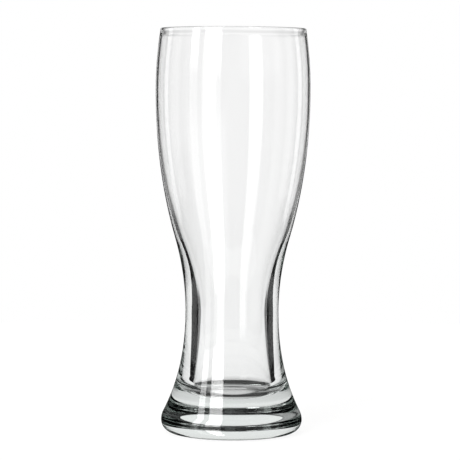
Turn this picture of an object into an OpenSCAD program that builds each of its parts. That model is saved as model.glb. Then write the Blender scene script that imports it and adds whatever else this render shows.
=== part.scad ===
// Tall pilsner glass: a barrel bowl on a narrow thick-walled waist and a solid flared foot.
// Lengths are millimetres. The glass stands on z = 0, and its axis is the Z axis.
// Its outer wall and its cavity are smooth curves through a few named stations, turned about the axis.
// The real glass is one fused body. Its zones meet here face to face, on level seams.

/* [Lip] */
// Height of the glass, from the surface it stands on to the top of the lip
glass_h = 225; // [212:1:245]
// Outer radius of the wall at the mouth
mouth_r = 40.4; // [37:0.1:42]
// Lean of the wall towards the axis below the mouth, in degrees
mouth_lean = 7.5; // [0:0.5:12]
// Height of the lip zone, which the fire-polished bead closes
lip_h = 5; // [4:0.5:12]
// Thickness of the bead, whose top is half round
bead_w = 1.8; // [1.4:0.1:2.4]
// How far the bead stands out from the wall below it
bead_proud = 0.15; // [0:0.05:0.3]

/* [Bowl] */
// Height of the widest place of the bowl
belly_z = 191; // [178:1:198]
// Outer radius of the bowl at its widest place
belly_r = 43; // [41.5:0.1:50]
// Thickness of the bowl's wall from its widest place to the lip
bowl_wall = 1.4; // [1:0.1:2.4]
// Height of the shoulder, where the bowl draws in fastest
shoulder_z = 109; // [98:1:118]
// Outer radius at the shoulder
shoulder_r = 32; // [30:0.1:34]
// Thickness of the wall at the shoulder, measured level
shoulder_wall = 3.4; // [2:0.1:5]
// Lean of the outer wall away from the axis at the shoulder, in degrees
shoulder_lean = 16.2; // [12:0.1:19]
// Lean of the cavity's side at the shoulder, in degrees
cavity_lean = 19.4; // [14:0.1:22]

/* [Waist] */
// Height of the narrowest place
waist_z = 68; // [60:1:76]
// Outer radius at the narrowest place
waist_r = 26; // [24.5:0.1:28]
// Thickness of the wall at the narrowest place
waist_wall = 6.8; // [4:0.1:7.5]
// Largest radius of the cavity, low down, where its side turns into its floor
well_r = 22.1; // [20:0.1:24]
// Lean of the cavity's side towards the axis just above that turn, in degrees
well_lean = 8; // [0:0.5:12]

/* [Foot] */
// Thickness of the solid glass under the middle of the cavity
sham_h = 18.4; // [14:0.1:26]
// How much higher the cavity's floor is at its edge than in its middle
floor_dish = 0.3; // [0:0.1:2]
// Radius of the round turn between the cavity's floor and its side
floor_round = 7.6; // [3:0.1:9]
// Largest radius of the foot
foot_r = 39.4; // [37:0.1:43]
// Lean of the flared skirt towards the axis above the heel, in degrees
skirt_lean = 26.8; // [18:0.1:30]
// Radius of the heel's round below its widest place
heel_round = 6.9; // [5:0.1:8]
// Radius of the heel's round above its widest place
brow_round = 10.4; // [7:0.1:13]
// Width of the flat ring that the glass stands on
ring_w = 4.2; // [1.5:0.1:6]
// Height of the hollow under the middle of the foot
push_up = 0.8; // [0.4:0.1:4]

/* [Hidden] */
$fn = 96;

// Facets along a zone's side, and along each round
side_steps = 24;
round_steps = 10;

// Centre height of the bead's half round, and the bead's outer radius
bead_z = glass_h - bead_w / 2;
bead_r = mouth_r + bead_proud;

// The flared skirt starts where the heel's upper round has turned to the skirt's lean
skirt_z = heel_round + brow_round * sin(skirt_lean);
skirt_r = foot_r - brow_round * (1 - cos(skirt_lean));

// The cavity's side starts where the round turn from its floor has reached the side's lean
turn_z = sham_h + floor_dish + floor_round;
side_z = turn_z + floor_round * sin(well_lean);
side_r = well_r - floor_round * (1 - cos(well_lean));

// Radii of the flat ring under the foot
ring_out = foot_r - heel_round;
ring_in = ring_out - ring_w;

// Level seams between the zones
foot_seam = side_z;
bowl_seam = shoulder_z;
lip_seam = glass_h - lip_h;
lip_seam_r = mouth_r + lip_h * tan(mouth_lean);

// Stations of the outer wall, going up: height, radius, and change of radius with height
outer_stations = [
    [skirt_z, skirt_r, -tan(skirt_lean)],
    [waist_z, waist_r, 0],
    [shoulder_z, shoulder_r, tan(shoulder_lean)],
    [belly_z, belly_r, 0],
    [lip_seam, lip_seam_r, -tan(mouth_lean)],
    [bead_z, bead_r, 0]
];

// Stations of the cavity's side, going up
cavity_stations = [
    [side_z, side_r, -tan(well_lean)],
    [waist_z, waist_r - waist_wall, 0],
    [shoulder_z, shoulder_r - shoulder_wall, tan(cavity_lean)],
    [belly_z, belly_r - bowl_wall, 0],
    [lip_seam, lip_seam_r - bowl_wall, -tan(mouth_lean)],
    [bead_z, bead_r - bead_w, 0]
];

// Radius between stations a and b at height z, on the cubic that keeps both slopes
function between(a, b, z) =
    let (rise = b[0] - a[0], t = (z - a[0]) / rise, fade = t * t * (3 - 2 * t))
    a[1] * (1 - fade) + b[1] * fade
    + rise * t * (1 - t) * (a[2] * (1 - t) - b[2] * t);

// Radius at height z on the curve through a list of stations
function radius_at(stations, z, i = 0) =
    i + 2 < len(stations) && z > stations[i + 1][0]
    ? radius_at(stations, z, i + 1)
    : between(stations[i], stations[i + 1], z);

// Points of a side from one height to another
function side(stations, from, to) =
    [for (i = [0 : side_steps]) let (z = from + (to - from) * i / side_steps) [radius_at(stations, z), z]];

// Points of a round about a centre, from one angle to another
function round(r, z, size, from, to) =
    [for (i = [0 : round_steps]) let (a = from + (to - from) * i / round_steps)
        [r + size * cos(a), z + size * sin(a)]];

// Points of a shallow dish that is level in its middle and at its edge, from the axis outwards
function dish(middle_z, edge_z, edge_r) =
    [for (i = [0 : side_steps]) let (t = i / side_steps)
        [edge_r * t, middle_z + (edge_z - middle_z) * (1 - cos(180 * t)) / 2]];

// The list without its first point, where that point is already drawn
function after_first(points) = [for (i = [1 : len(points) - 1]) points[i]];

// The list in the other direction
function backwards(points) = [for (i = [len(points) - 1 : -1 : 0]) points[i]];

// Clear glass turned about the axis
module turned(points) color("WhiteSmoke", 0.55) rotate_extrude() polygon(points);

// The drinking lip: the last of the thin wall, closed by the half-round bead
module rim() turned(concat(
    side(outer_stations, lip_seam, bead_z),
    after_first(round(bead_r - bead_w / 2, bead_z, bead_w / 2, 0, 180)),
    after_first(side(cavity_stations, bead_z, lip_seam))
));

// The thin-walled barrel, from the shoulder to the lip
module bowl() turned(concat(
    side(outer_stations, bowl_seam, lip_seam),
    side(cavity_stations, lip_seam, bowl_seam)
));

// The narrow thick-walled zone round the lowest part of the cavity
module waist() turned(concat(
    side(outer_stations, foot_seam, bowl_seam),
    side(cavity_stations, bowl_seam, foot_seam)
));

// The solid foot: heel and skirt outside, the cavity's floor on top, the hollow and the flat ring below
module foot() turned(concat(
    dish(push_up, 0, ring_in),
    round(ring_out, heel_round, heel_round, -90, 0),
    after_first(round(foot_r - brow_round, heel_round, brow_round, 0, skirt_lean)),
    after_first(side(outer_stations, skirt_z, foot_seam)),
    backwards(round(well_r - floor_round, turn_z, floor_round, -90, well_lean)),
    after_first(backwards(dish(sham_h, sham_h + floor_dish, well_r - floor_round)))
));

rim();
bowl();
waist();
foot();
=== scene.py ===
"""Dresses a tall pilsner glass and lights it in a small studio.

The glass is one fused body of clear soda-lime glass. Its CAD zones give the section; the body is turned
from that section as one seamless skin, so that light bends only where glass meets air.
"""

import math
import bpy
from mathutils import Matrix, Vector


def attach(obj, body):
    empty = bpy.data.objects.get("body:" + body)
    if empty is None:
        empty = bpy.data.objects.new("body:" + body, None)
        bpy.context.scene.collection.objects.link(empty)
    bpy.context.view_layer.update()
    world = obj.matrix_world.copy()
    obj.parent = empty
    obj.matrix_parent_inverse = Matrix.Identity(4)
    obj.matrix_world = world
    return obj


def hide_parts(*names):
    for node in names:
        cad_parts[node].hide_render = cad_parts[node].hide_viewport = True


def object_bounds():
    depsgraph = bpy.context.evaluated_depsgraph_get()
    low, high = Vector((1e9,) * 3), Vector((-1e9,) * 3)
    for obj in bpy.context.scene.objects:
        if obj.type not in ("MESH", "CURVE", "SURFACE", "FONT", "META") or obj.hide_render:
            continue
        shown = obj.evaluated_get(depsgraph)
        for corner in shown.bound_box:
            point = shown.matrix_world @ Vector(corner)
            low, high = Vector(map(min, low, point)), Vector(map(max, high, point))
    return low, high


bl_info = {
    "name": "Pilsner glass",
    "version": (1, 0, 0),
    "blender": (4, 5, 0),
    "location": "3D View > Sidebar > Glass",
    "description": "Turns a clear pilsner glass from its CAD section and sets up its studio",
    "category": "Object",
}

from collections import Counter, defaultdict

import bpy
from mathutils import Matrix, Vector, noise

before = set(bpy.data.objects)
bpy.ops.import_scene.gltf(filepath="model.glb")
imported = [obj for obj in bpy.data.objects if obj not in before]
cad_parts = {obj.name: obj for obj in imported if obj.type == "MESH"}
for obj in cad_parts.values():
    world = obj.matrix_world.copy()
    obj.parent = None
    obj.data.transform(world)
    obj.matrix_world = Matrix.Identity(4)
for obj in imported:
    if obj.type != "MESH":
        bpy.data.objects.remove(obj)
CAD_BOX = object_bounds()

MM = 0.001
GLASS_ZONES = ("rim", "bowl", "waist", "foot")

# Two places this near, in metres, are one, and an outline that turns less than this is straight
NEAR = 1e-6
STRAIGHT_TURN = 2e-4

# The cavity's axis joins the outside's at this height
DRIFT_ENDS = 160 * MM
# The cavity's unevenness grows over this much of its side below the lip, and from the axis outwards
WAVE_GROWS = 10 * MM
WAVE_CENTRE = 8 * MM
# The floor's unevenness fades over this height, and its swells are this much closer than the side's
FLOOR_DEPTH = 6 * MM
FLOOR_SWELLS = 1.7

# Facets of the stage's round pieces, and how far the table and the sweep lie below the glass
TABLE_FACETS = 96
SWEEP_FACETS = 24
CARD_FACETS = 32
TABLE_GAP = 0.02 * MM
SWEEP_GAP = 0.04 * MM


class GlassBodySettings(bpy.types.PropertyGroup):
    turns: bpy.props.IntProperty(
        name="Facets around", description="Facets of the skin around the axis", default=288, min=48)
    ring_spacing: bpy.props.FloatProperty(
        name="Ring spacing", description="Distance between the rings of the skin along the section",
        default=0.7 * MM, unit="LENGTH", precision=5)
    cavity_wave: bpy.props.FloatProperty(
        name="Cavity wave", description="How far the blown cavity wanders from a true turned surface",
        default=0.04 * MM, unit="LENGTH", precision=6)
    floor_wave: bpy.props.FloatProperty(
        name="Floor wave", description="How uneven the cavity's floor is, where the gob chilled first",
        default=0.12 * MM, unit="LENGTH", precision=6)
    cavity_drift: bpy.props.FloatProperty(
        name="Cavity drift",
        description="How far the cavity's axis, carried down to the table, stands off the outside's",
        default=0.36 * MM, unit="LENGTH", precision=5)
    wave_length: bpy.props.FloatProperty(
        name="Wave length", description="Distance from one swell of the cavity to the next",
        default=22 * MM, unit="LENGTH")


class GlassFinishSettings(bpy.types.PropertyGroup):
    ior: bpy.props.FloatProperty(
        name="IOR", description="Refractive index of soda-lime glass", default=1.52)
    tint: bpy.props.StringProperty(
        name="Tint", description="What is left of white after one absorption length, as a hex colour",
        default="#CDD6D2")
    tint_density: bpy.props.FloatProperty(
        name="Tint density", description="Absorption per metre of glass", default=8.0)
    ring_wear: bpy.props.FloatProperty(
        name="Ring wear", description="Roughness of the ring that the glass stands on",
        default=0.04, min=0, max=1, subtype="FACTOR")


class StudioSettings(bpy.types.PropertyGroup):
    table: bpy.props.StringProperty(
        name="Table", description="Colour of the table, as a hex colour", default="#F2F2F0")
    shadow_share: bpy.props.FloatProperty(
        name="Shadow share", description="How much of the table's own light and shade the camera sees",
        default=0.12, min=0, max=1, subtype="FACTOR")
    table_r: bpy.props.FloatProperty(
        name="Table radius", description="Radius of the round table", default=0.6, unit="LENGTH")
    sweep_half: bpy.props.FloatProperty(
        name="Sweep half width", description="Half the width of the white paper sweep",
        default=0.115, unit="LENGTH")
    sweep_y: bpy.props.FloatProperty(
        name="Sweep distance", description="Distance from the axis to the sweep's upright part",
        default=0.25, unit="LENGTH")
    sweep_bend: bpy.props.FloatProperty(
        name="Sweep bend", description="Radius of the sweep's bend", default=0.2, unit="LENGTH")
    sweep_front: bpy.props.FloatProperty(
        name="Sweep front", description="How far the sweep reaches in front of the glass",
        default=0.12, unit="LENGTH")
    sweep_h: bpy.props.FloatProperty(
        name="Sweep height", description="Height of the sweep", default=0.4, unit="LENGTH")
    card_r: bpy.props.FloatProperty(
        name="Card radius", description="Distance from the axis to the curved reflector cards",
        default=0.11, unit="LENGTH")
    card_from: bpy.props.FloatProperty(
        name="Card start", description="Bearing from which the reflector cards reach round the bowl",
        default=math.radians(45), unit="ROTATION")
    card_to: bpy.props.FloatProperty(
        name="Card end", description="Bearing to which the reflector cards reach round the bowl",
        default=math.radians(114), unit="ROTATION")
    card_low: bpy.props.FloatProperty(
        name="Card foot", description="Height of the lower edge of the reflector cards",
        default=0.085, unit="LENGTH")
    card_high: bpy.props.FloatProperty(
        name="Card top", description="Height of the upper edge of the reflector cards",
        default=0.34, unit="LENGTH")
    camera_y: bpy.props.FloatProperty(
        name="Camera distance", description="Level distance from the glass's axis to the camera",
        default=1.22, unit="LENGTH")
    camera_z: bpy.props.FloatProperty(
        name="Camera height", description="Height of the camera above the table",
        default=0.1893, unit="LENGTH")
    camera_pitch: bpy.props.FloatProperty(
        name="Camera pitch", description="How far the camera looks down",
        default=math.radians(3.579), unit="ROTATION", precision=4)
    camera_yaw: bpy.props.FloatProperty(
        name="Camera yaw", description="How far the camera looks to the left of the axis",
        default=math.radians(0.0627), unit="ROTATION", precision=4)
    camera_roll: bpy.props.FloatProperty(
        name="Camera roll", description="Roll of the camera", default=math.radians(0.3),
        unit="ROTATION", precision=4)
    camera_lens: bpy.props.FloatProperty(
        name="Lens", description="Focal length on a 36 mm wide frame, in millimetres", default=171.6)


# The lights are staged: each kind of ray in the glass sees its own, set by trial until the stripes and
# bands fell as they do in the photograph. Each is the bearing of its middle in degrees (0 is behind the
# glass, 90 to its right), half width, lowest and highest elevation, softness of the sides and of the
# ends, and strength. These are the ones that the glass mirrors.
MIRRORED_LIGHTS = (
    (180.0, 80.0, -90, 90, 20, 4, 0.3),
    (-149.0, 13.0, -70, 64, 1.5, 4, 1.4),
    (-149.0, 13.0, 8, 64, 1.5, 5, 9.0),
    (-149.0, 13.0, -70, -16, 1.5, 4, 6.0),
    (-119.0, 6.5, -70, 64, 1.0, 4, 1.3),
    (-119.0, 6.5, 8, 64, 1.0, 5, 5.0),
)
# What shows straight through the glass: white all round, but for a dark gap on each side of the sweep
STRAIGHT_LIGHTS = (
    (180.0, 105.0, -90, 90, 8, 4, 1.0),
    (0.0, 75.0, -94, -17, 8, 4, 1.0),
)
# What shows through the glass after one of its inner faces has mirrored it
INNER_LIGHTS = (
    (180.0, 70.0, -36, 36, 20, 6, 0.2),
    (-143.0, 11.0, -30, 33, 1.0, 3, 2.0),
    (-47.0, 12.0, 14, 44, 5, 4, 0.4),
    (-90.0, 20.0, -12, 40, 6, 4, 0.6),
    (135.0, 34.0, 4, 40, 6, 4, 0.7),
)
# The light on the reflector cards that stand close round the bowl, with heights in millimetres in
# place of elevations
CARD_LIGHTS = (
    (-80.0, 28.0, 105, 330, 4.0, 12, 1.0),
    (80.0, 28.0, 105, 330, 4.0, 12, 1.0),
    (-82.0, 4.6, 90, 330, 1.0, 6, 1.9),
    (82.0, 4.6, 90, 330, 1.0, 6, 1.9),
)
# What is left between the lights
STUDIO_GLOOM = 0.012

# Painted light and shade on the paper sweep, as steps added up: what is measured (reach from the point
# under the glass, or height), where the step starts and ends in millimetres, and its change. The paper
# is painted dimmer under the middle of the glass and nearly black under the edge of the foot, a painted
# shadow which gives the foot its low dark bands, and it is painted dimmer near its top.
SWEEP_SHADES = (
    ("reach", -1, 0, 0.65),
    ("reach", 11, 21, -0.61),
    ("reach", 33, 52, 0.78),
    ("reach", 52, 80, 0.21),
    ("height", 240, 285, -0.6),
)


def linear_colour(hex_colour):
    """An sRGB hex colour as linear red, green, blue and full alpha."""
    channels = [int(hex_colour[i:i + 2], 16) / 255 for i in (1, 3, 5)]
    return [c / 12.92 if c <= 0.04045 else ((c + 0.055) / 1.055) ** 2.4 for c in channels] + [1.0]


def add_node(tree, kind, inputs=None, **settings):
    """Add a node, give it its settings, and fill its inputs with values or links."""
    added = tree.nodes.new(kind)
    for key, value in settings.items():
        setattr(added, key, value)
    for key, value in (inputs or {}).items():
        if isinstance(value, bpy.types.NodeSocket):
            tree.links.new(value, added.inputs[key])
        else:
            added.inputs[key].default_value = value
    return added


def emptied_tree(owner):
    """The node tree of a material or world, without the nodes that Blender puts there."""
    owner.use_nodes = True
    owner.node_tree.nodes.clear()
    return owner.node_tree


# ---- the glass's section ----


def cad_outline(zones):
    """Points (radius, height) of the fused section, in metres, from the axis under the foot round the
    outside and down the cavity to the axis again. Seams between zones drop out, as two zones draw
    them."""
    drawn = Counter()
    for zone in zones:
        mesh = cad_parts[zone].data
        place = {}
        for vertex in mesh.vertices:
            x, y, z = vertex.co
            if abs(y) < NEAR and x > -NEAR:
                place[vertex.index] = (round(x, 7), round(z, 7))
        lines = set()
        for edge in mesh.edges:
            ends = {place.get(v) for v in edge.vertices}
            if None not in ends and len(ends) == 2:
                lines.add(frozenset(ends))
        drawn.update(lines)
    neighbours = defaultdict(list)
    for line, times in drawn.items():
        if times == 1:
            a, b = line
            neighbours[a].append(b)
            neighbours[b].append(a)
    here = min((p for p in neighbours if p[0] < NEAR), key=lambda p: p[1])
    outline = [here]
    before = None
    while True:
        onward = [p for p in neighbours[here] if p != before]
        if not onward:
            break
        before, here = here, onward[0]
        outline.append(here)
    if outline[-1][0] > NEAR:
        raise RuntimeError("the CAD zones' sections don't join into one outline")
    return outline


def without_midpoints(points):
    """The outline without the points that lie on the line between their neighbours."""
    kept = [points[0]]
    for here, after in zip(points[1:], points[2:]):
        a = Vector(here) - Vector(kept[-1])
        b = Vector(after) - Vector(here)
        turn = abs(a.x * b.y - a.y * b.x) / (a.length * b.length)
        if turn > STRAIGHT_TURN:
            kept.append(here)
    return kept + [points[-1]]


def smooth_curve(points, spacing):
    """A smooth curve through the points, as closely spaced points. Its ends are level, at the axis."""
    knots = [Vector(p) for p in points]
    steps = [(b - a) for a, b in zip(knots, knots[1:])]
    lengths = [s.length for s in steps]
    slopes = [s / l for s, l in zip(steps, lengths)]
    tangents = [Vector((1, 0))]
    for i in range(1, len(knots) - 1):
        before, after = lengths[i - 1], lengths[i]
        tangents.append((slopes[i - 1] * after + slopes[i] * before) / (before + after))
    tangents.append(Vector((-1, 0)))
    curve = [knots[0]]
    for i, length in enumerate(lengths):
        parts = max(1, math.ceil(length / spacing))
        for k in range(1, parts + 1):
            t = k / parts
            fade = t * t * (3 - 2 * t)
            bend = tangents[i] * (1 - t) - tangents[i + 1] * t
            curve.append(knots[i] * (1 - fade) + knots[i + 1] * fade + bend * (length * t * (1 - t)))
    return curve


# ---- the glass body ----


def glass_material(look):
    """Clear soda-lime glass, blown in a mould and fire-polished: the eye gets the background bent at
    the thick waist and foot, dark lines where the wall turns edge on, and a dull worn ring
    underneath."""
    material = bpy.data.materials.new("clear_soda_lime_glass")
    tree = emptied_tree(material)
    place = add_node(tree, "ShaderNodeTexCoord").outputs["Object"]
    height = add_node(tree, "ShaderNodeSeparateXYZ", {"Vector": place}).outputs["Z"]
    # The ring touches the table over its lowest tenth of a millimetre
    on_ring = add_node(tree, "ShaderNodeMapRange", {
        "Value": height, "From Min": 0.12 * MM, "From Max": 0.04 * MM}).outputs["Result"]
    # Scuffs about 0.8 mm apart
    scuffs = add_node(tree, "ShaderNodeTexNoise", {
        "Vector": place, "Scale": 1 / (0.8 * MM), "Detail": 3.0})
    wear = add_node(tree, "ShaderNodeMapRange", {
        "Value": scuffs.outputs["Fac"], "From Min": 0.4, "From Max": 0.6,
        "To Min": 0.4 * look.ring_wear, "To Max": look.ring_wear}).outputs["Result"]
    roughness = add_node(tree, "ShaderNodeMath", {0: on_ring, 1: wear}, operation="MULTIPLY").outputs[0]
    # Fire-polished skin: ripples 9 mm apart and a few thousandths of a millimetre high
    ripple = add_node(tree, "ShaderNodeTexNoise", {
        "Vector": place, "Scale": 1 / (9 * MM), "Detail": 1.0})
    skin = add_node(tree, "ShaderNodeBump", {
        "Height": ripple.outputs["Fac"], "Distance": 0.006 * MM, "Strength": 1.0})
    glass = add_node(tree, "ShaderNodeBsdfPrincipled", {
        "Base Color": linear_colour("#FFFFFF"), "Roughness": roughness,
        "Normal": skin.outputs["Normal"], "IOR": look.ior, "Transmission Weight": 1.0})
    tint = add_node(tree, "ShaderNodeVolumeAbsorption", {
        "Color": linear_colour(look.tint), "Density": look.tint_density})
    add_node(tree, "ShaderNodeOutputMaterial", {
        "Surface": glass.outputs["BSDF"], "Volume": tint.outputs["Volume"]})
    return material


def turned_mesh(name, section, top, body):
    """Turn the section about the axis. Past its top point the section is the cavity, which is blown
    and so a little uneven."""
    ring = section[1:-1]
    vertices = [(0, 0, section[0].y)]
    for k in range(body.turns):
        angle = 2 * math.pi * k / body.turns
        across, along = math.cos(angle), math.sin(angle)
        for i, (radius, height) in enumerate(ring, start=1):
            aside = 0.0
            if i > top:
                aside = body.cavity_drift * max(0.0, 1 - height / DRIFT_ENDS)
                place = Vector((radius * across, radius * along, height * 0.5)) / body.wave_length
                swell = noise.noise(place)
                below = min(1.0, (i - top) * body.ring_spacing / WAVE_GROWS)
                radius += body.cavity_wave * swell * below * min(1.0, radius / WAVE_CENTRE)
                if height < section[-1].y + FLOOR_DEPTH:
                    deep = 1 - (height - section[-1].y) / FLOOR_DEPTH
                    height += body.floor_wave * noise.noise(place * FLOOR_SWELLS) * deep
            vertices.append((radius * across + aside, radius * along, height))
    vertices.append((aside, 0, section[-1].y))
    count = len(ring)
    last = len(vertices) - 1
    faces = []
    for k in range(body.turns):
        here, onward = 1 + k * count, 1 + (k + 1) % body.turns * count
        faces.append((0, onward, here))
        faces.append((last, here + count - 1, onward + count - 1))
        faces += [(here + i, onward + i, onward + i + 1, here + i + 1) for i in range(count - 1)]
    mesh = bpy.data.meshes.new(name)
    mesh.from_pydata(vertices, [], faces)
    mesh.shade_smooth()
    mesh.validate()
    return mesh


class GLASS_OT_body(bpy.types.Operator):
    """Turn the one-piece glass body from the section of its CAD zones"""

    bl_idname = "glass.body"
    bl_label = "Glass body"

    def execute(self, context):
        body = context.scene.glass_body
        section = smooth_curve(without_midpoints(cad_outline(GLASS_ZONES)), body.ring_spacing)
        # The turned circle may not stand out of the CAD's facets
        slimming = CAD_BOX[1][1] / max(point.x for point in section)
        section = [Vector((point.x * slimming, max(point.y, CAD_BOX[0][2]))) for point in section]
        top = max(range(len(section)), key=lambda i: section[i].y)
        piece = bpy.data.objects.new("glass_body", turned_mesh("glass_body", section, top, body))
        context.scene.collection.objects.link(piece)
        piece.data.materials.append(glass_material(context.scene.glass_finish))
        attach(piece, "root")
        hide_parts(*GLASS_ZONES)
        return {"FINISHED"}


# ---- the studio ----


def bearing_of(tree, part):
    """Bearing in degrees of a direction or place, from its parts. 0 is behind the glass."""
    turn = add_node(tree, "ShaderNodeMath", {0: part["X"], 1: part["Y"]}, operation="ARCTAN2")
    return add_node(tree, "ShaderNodeMath", {0: turn.outputs[0]}, operation="DEGREES").outputs[0]


def lights_at(tree, bearing, elevation, lights):
    """Strength of the lights at a bearing in degrees and an elevation, in the unit that they use."""
    total = STUDIO_GLOOM
    for middle, half, low, high, soft, end_soft, strength in lights:
        turned = add_node(tree, "ShaderNodeMath", {0: bearing, 1: middle}, operation="SUBTRACT")
        off = add_node(tree, "ShaderNodeMath", {
            0: turned.outputs[0], 1: 180.0, 2: -180.0}, operation="WRAP")
        aside = add_node(tree, "ShaderNodeMath", {0: off.outputs[0]}, operation="ABSOLUTE")
        across = add_node(tree, "ShaderNodeMapRange", {
            "Value": aside.outputs[0], "From Min": half - soft, "From Max": half + soft,
            "To Min": strength, "To Max": 0.0}, interpolation_type="SMOOTHSTEP")
        centred = add_node(tree, "ShaderNodeMath", {
            0: elevation, 1: (low + high) / 2}, operation="SUBTRACT")
        away = add_node(tree, "ShaderNodeMath", {0: centred.outputs[0]}, operation="ABSOLUTE")
        along = add_node(tree, "ShaderNodeMapRange", {
            "Value": away.outputs[0], "From Min": (high - low) / 2 - end_soft,
            "From Max": (high - low) / 2 + end_soft,
            "To Min": 1.0, "To Max": 0.0}, interpolation_type="SMOOTHSTEP")
        total = add_node(tree, "ShaderNodeMath", {
            0: across.outputs["Result"], 1: along.outputs["Result"], 2: total},
            operation="MULTIPLY_ADD").outputs[0]
    return total


def studio_world():
    """The lights round the studio. The camera and the table see plain white, and each kind of ray in
    the glass sees the lights meant for it."""
    world = bpy.data.worlds.new("studio")
    tree = emptied_tree(world)
    direction = add_node(tree, "ShaderNodeTexCoord").outputs["Generated"]
    part = add_node(tree, "ShaderNodeSeparateXYZ", {"Vector": direction}).outputs
    bearing = bearing_of(tree, part)
    rise = add_node(tree, "ShaderNodeMath", {0: part["Z"]}, operation="ARCSINE")
    elevation = add_node(tree, "ShaderNodeMath", {0: rise.outputs[0]}, operation="DEGREES").outputs[0]
    ray = add_node(tree, "ShaderNodeLightPath").outputs
    mirrored = lights_at(tree, bearing, elevation, MIRRORED_LIGHTS)
    # Past its first inner reflection, a ray sees the inner lights
    mirrored_within = add_node(tree, "ShaderNodeMath", {
        0: ray["Glossy Depth"], 1: 0.5}, operation="GREATER_THAN").outputs[0]
    through = add_node(tree, "ShaderNodeMix", {
        "Factor": mirrored_within,
        "A": lights_at(tree, bearing, elevation, STRAIGHT_LIGHTS),
        "B": lights_at(tree, bearing, elevation, INNER_LIGHTS)}).outputs["Result"]
    in_glass = add_node(tree, "ShaderNodeMix", {
        "Factor": ray["Is Transmission Ray"], "A": mirrored, "B": through})
    # The camera, and the soft light on the table, see plain white
    plain = add_node(tree, "ShaderNodeMath", {
        0: ray["Is Camera Ray"], 1: ray["Is Diffuse Ray"]}, operation="MAXIMUM")
    strength = add_node(tree, "ShaderNodeMix", {
        "Factor": plain.outputs[0], "A": in_glass.outputs["Result"], "B": 1.0})
    light = add_node(tree, "ShaderNodeBackground", {
        "Color": linear_colour("#FFFFFF"), "Strength": strength.outputs["Result"]})
    add_node(tree, "ShaderNodeOutputWorld", {"Surface": light.outputs["Background"]})
    return world


def table_material(studio):
    """Matt white laminate: the eye gets a plain white table with the glass's faint shadow on it."""
    material = bpy.data.materials.new("matt_white_laminate")
    tree = emptied_tree(material)
    shade = add_node(tree, "ShaderNodeBsdfDiffuse", {"Color": linear_colour(studio.table)})
    white = add_node(tree, "ShaderNodeEmission", {"Color": linear_colour("#FFFFFF"), "Strength": 1.0})
    seen = add_node(tree, "ShaderNodeMixShader", {
        0: studio.shadow_share, 1: white.outputs[0], 2: shade.outputs[0]})
    add_node(tree, "ShaderNodeOutputMaterial", {"Surface": seen.outputs[0]})
    return material


def sweep_material():
    """White seamless paper: the eye gets a white field behind the glass, and dark bands in the foot
    where the paper lies in the foot's shade. The shade is painted on, by distance."""
    material = bpy.data.materials.new("white_seamless_paper")
    tree = emptied_tree(material)
    place = add_node(tree, "ShaderNodeNewGeometry").outputs["Position"]
    reach = add_node(tree, "ShaderNodeVectorMath", {0: place}, operation="LENGTH").outputs["Value"]
    part = add_node(tree, "ShaderNodeSeparateXYZ", {"Vector": place}).outputs
    measures = {"reach": reach, "height": part["Z"]}
    level = 0.0
    # Painted shade: these steps paint the paper's glow dimmer under the glass, nearly black under the
    # foot's edge, and dimmer near its top
    for measure, start, end, change in SWEEP_SHADES:
        step = add_node(tree, "ShaderNodeMapRange", {
            "Value": measures[measure], "From Min": start * MM, "From Max": end * MM,
            "To Min": 0.0, "To Max": change}, interpolation_type="SMOOTHSTEP")
        level = add_node(tree, "ShaderNodeMath", {0: step.outputs["Result"], 1: level}).outputs[0]
    glow = add_node(tree, "ShaderNodeEmission", {"Color": linear_colour("#FFFFFF"), "Strength": level})
    add_node(tree, "ShaderNodeOutputMaterial", {"Surface": glow.outputs[0]})
    return material


def seen_only_by(piece, kind):
    """Hide a piece of the stage from every ray but those of one kind."""
    for other in ("camera", "diffuse", "glossy", "transmission", "shadow"):
        setattr(piece, "visible_" + other, other == kind)


def add_stage(name, vertices, faces, material):
    """Add a piece of the stage, which isn't part of the object."""
    mesh = bpy.data.meshes.new(name)
    mesh.from_pydata(vertices, [], faces)
    mesh.materials.append(material)
    piece = bpy.data.objects.new(name, mesh)
    bpy.context.scene.collection.objects.link(piece)
    return piece


def band_faces(count):
    """Faces of a band whose vertices go along it in pairs."""
    return [(2 * i, 2 * i + 1, 2 * i + 3, 2 * i + 2) for i in range(count)]


def hang_sweep(studio, material):
    """Hang a sweep of paper behind the glass, which only light passing through the glass sees."""
    curve_start = studio.sweep_y - studio.sweep_bend
    profile = [(-studio.sweep_front, 0)]
    for k in range(SWEEP_FACETS + 1):
        angle = math.pi / 2 * k / SWEEP_FACETS
        profile.append((curve_start + studio.sweep_bend * math.sin(angle),
                        studio.sweep_bend * (1 - math.cos(angle))))
    profile.append((studio.sweep_y, studio.sweep_h))
    vertices = [(side * studio.sweep_half, y, z - SWEEP_GAP) for y, z in profile for side in (-1, 1)]
    sweep = add_stage("sweep", vertices, band_faces(len(profile) - 1), material)
    seen_only_by(sweep, "transmission")


def card_material():
    """Silvered reflector cards: the eye gets the pale edges and the two bright lines down the bowl's
    sides, and nothing of the cards themselves."""
    material = bpy.data.materials.new("silvered_card")
    tree = emptied_tree(material)
    place = add_node(tree, "ShaderNodeNewGeometry").outputs["Position"]
    part = add_node(tree, "ShaderNodeSeparateXYZ", {"Vector": place}).outputs
    bearing = bearing_of(tree, part)
    height = add_node(tree, "ShaderNodeMath", {
        0: part["Z"], 1: 1 / MM}, operation="MULTIPLY").outputs[0]
    glow = add_node(tree, "ShaderNodeEmission", {
        "Color": linear_colour("#FFFFFF"), "Strength": lights_at(tree, bearing, height, CARD_LIGHTS)})
    add_node(tree, "ShaderNodeOutputMaterial", {"Surface": glow.outputs[0]})
    return material


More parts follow.
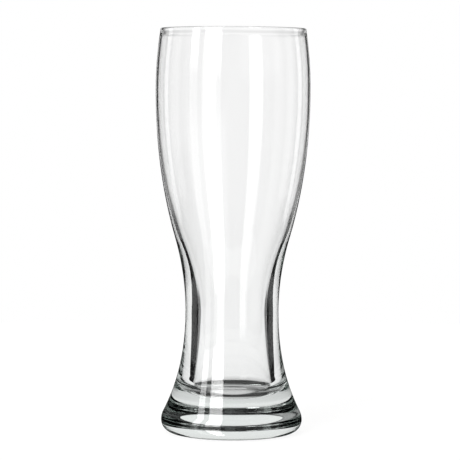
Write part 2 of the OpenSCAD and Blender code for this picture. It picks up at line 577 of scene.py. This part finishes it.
def stand_card(name, side, studio, material):
    """Stand a curved reflector card beside the bowl, which only the glass's reflections see."""
    vertices = []
    for k in range(CARD_FACETS + 1):
        share = (studio.card_to - studio.card_from) * k / CARD_FACETS
        bearing = side * (studio.card_from + share)
        for z in (studio.card_low, studio.card_high):
            vertices.append((studio.card_r * math.sin(bearing), studio.card_r * math.cos(bearing), z))
    seen_only_by(add_stage(name, vertices, band_faces(CARD_FACETS), material), "glossy")


def place_camera(scene, studio):
    """The photographer's camera: long lens, a little below the rim, looking down at the foot."""
    camera = bpy.data.cameras.new("camera")
    camera.sensor_width = 36
    camera.lens = studio.camera_lens
    camera.clip_end = 20
    holder = bpy.data.objects.new("camera", camera)
    scene.collection.objects.link(holder)
    holder.matrix_world = (
        Matrix.Translation((0, -studio.camera_y, studio.camera_z))
        @ Matrix.Rotation(studio.camera_yaw, 4, "Z")
        @ Matrix.Rotation(math.pi / 2 - studio.camera_pitch, 4, "X")
        @ Matrix.Rotation(studio.camera_roll, 4, "Z"))
    scene.camera = holder


class GLASS_OT_studio(bpy.types.Operator):
    """Set up the table, the paper sweep, the reflector cards, the lights and the camera"""

    bl_idname = "glass.studio"
    bl_label = "Studio"

    def execute(self, context):
        scene = context.scene
        studio = scene.glass_studio
        scene.world = studio_world()
        round_table = [(studio.table_r * math.cos(a), studio.table_r * math.sin(a), 0)
                       for a in (2 * math.pi * k / TABLE_FACETS for k in range(TABLE_FACETS))]
        table = add_stage(
            "table", round_table, [tuple(range(TABLE_FACETS))], table_material(studio))
        table.location.z = -TABLE_GAP
        table.visible_transmission = False
        table.visible_glossy = False
        hang_sweep(studio, sweep_material())
        silver = card_material()
        for side, name in ((-1, "card_left"), (1, "card_right")):
            stand_card(name, side, studio, silver)
        place_camera(scene, studio)
        scene.view_settings.view_transform = "Standard"
        # Light has to pass many faces of the solid foot before it leaves it
        scene.cycles.max_bounces = 24
        scene.cycles.transmission_bounces = 24
        scene.cycles.glossy_bounces = 16
        return {"FINISHED"}


class GLASS_PT_panel(bpy.types.Panel):
    """The sizes, finishes and studio of the glass, each with the button that makes it"""

    bl_idname = "GLASS_PT_panel"
    bl_label = "Pilsner glass"
    bl_space_type = "VIEW_3D"
    bl_region_type = "UI"
    bl_category = "Glass"

    def draw(self, context):
        layout = self.layout
        scene = context.scene
        for operator, groups in (
                (GLASS_OT_body, (scene.glass_body, scene.glass_finish)),
                (GLASS_OT_studio, (scene.glass_studio,))):
            box = layout.box()
            for group in groups:
                for name in group.__annotations__:
                    box.prop(group, name)
            box.operator(operator.bl_idname)


CLASSES = (GlassBodySettings, GlassFinishSettings, StudioSettings,
           GLASS_OT_body, GLASS_OT_studio, GLASS_PT_panel)


def register():
    for cls in CLASSES:
        bpy.utils.register_class(cls)
    bpy.types.Scene.glass_body = bpy.props.PointerProperty(type=GlassBodySettings)
    bpy.types.Scene.glass_finish = bpy.props.PointerProperty(type=GlassFinishSettings)
    bpy.types.Scene.glass_studio = bpy.props.PointerProperty(type=StudioSettings)


def unregister():
    del bpy.types.Scene.glass_studio
    del bpy.types.Scene.glass_finish
    del bpy.types.Scene.glass_body
    for cls in reversed(CLASSES):
        bpy.utils.unregister_class(cls)


def main():
    register()
    bpy.ops.glass.body()
    bpy.ops.glass.studio()


if __name__ == "__main__":
    main()
